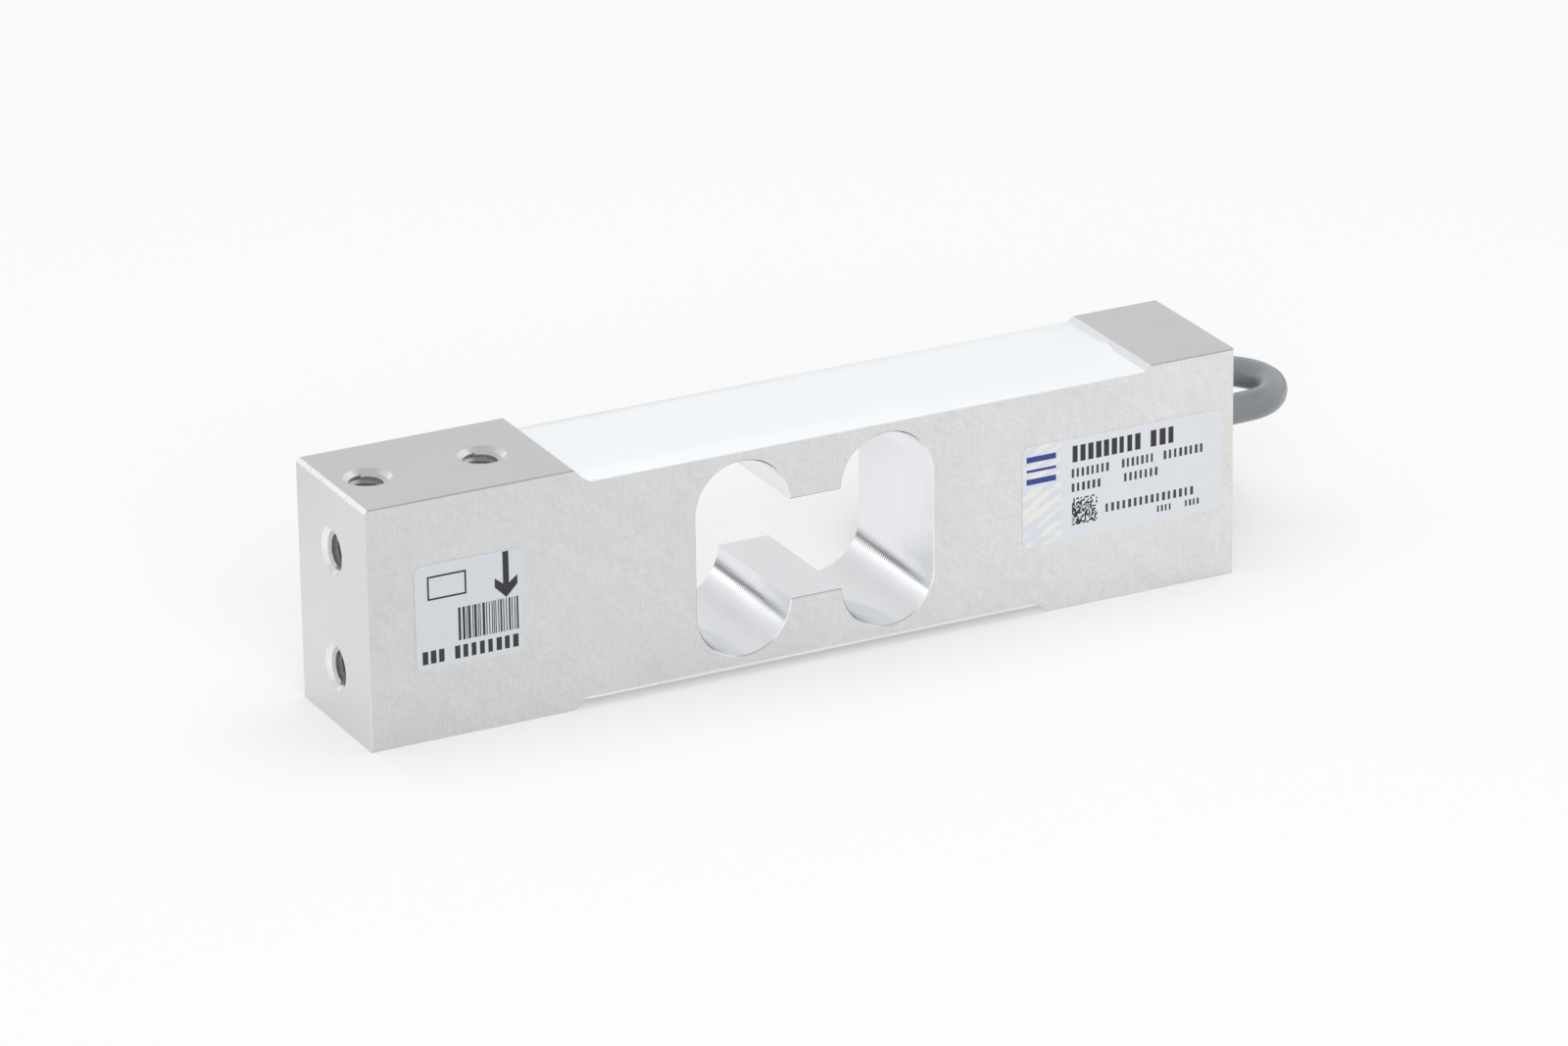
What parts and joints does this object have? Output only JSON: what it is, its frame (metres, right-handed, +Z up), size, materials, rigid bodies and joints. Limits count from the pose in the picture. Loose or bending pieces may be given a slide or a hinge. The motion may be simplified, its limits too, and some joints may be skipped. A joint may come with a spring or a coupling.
{
  "type": "single point load cell",
  "caption": "Bar-shaped single point load cell with a binocular cut-out, white potted gauge faces, threaded mounting holes and a grey signal cable.",
  "frame": {"origin": "middle of the bar's footprint, on the surface that it rests on", "axes": "+X along the bar from the load end to the cable end, +Y from the label face to the back, +Z up out of the load pad"},
  "size_m": [0.1709, 0.0538, 0.0394],
  "materials": {
    "milled_aluminium": "fine milled and lightly tumbled, satin",
    "potting": "cast silicone potting, soft gloss",
    "gauge_film": "amber polyimide film with an etched foil grid",
    "board": "solder mask over glass laminate",
    "chip_ceramic": "matte",
    "nickel_foil": "etched nickel foil on film",
    "copper_wire": "enamelled copper",
    "core_red": "soft insulation",
    "core_black": "soft insulation",
    "core_green": "soft insulation",
    "core_white": "soft insulation",
    "cable_jacket": "smooth extruded jacket, satin",
    "sealant": "cured sealant",
    "label_film": "printed film label, satin",
    "tie_nylon": "natural nylon",
    "heat_shrink": "shrunk sleeve",
    "tinned_wire": "tinned strands"
  },
  "bodies": {
    "root": {"spring_body": "milled_aluminium", "gauge_top_load": "gauge_film", "gauge_top_fixed": "gauge_film", "gauge_base_load": "gauge_film", "gauge_base_fixed": "gauge_film", "terminal_board": "board", "base_board": "board", "balance_resistors": "chip_ceramic", "compensation_foil": "nickel_foil", "gauge_leads_top": "copper_wire", "gauge_leads_base": "copper_wire", "link_wires": "copper_wire", "core_red": "core_red", "core_black": "core_black", "core_green": "core_green", "core_white": "core_white", "cable_entry": "cable_jacket", "cable_seal": "sealant", "top_potting": "potting", "base_potting": "potting", "load_label": "label_film", "rating_label": "label_film", "cable_lead": "cable_jacket", "cable_hank": "cable_jacket", "cable_tail": "cable_jacket", "hank_tie": "tie_nylon", "end_sleeve": "heat_shrink", "end_core_red": "core_red", "end_core_black": "core_black", "end_core_green": "core_green", "end_core_white": "core_white", "end_shield": "tinned_wire"}
  },
  "joints": []
}
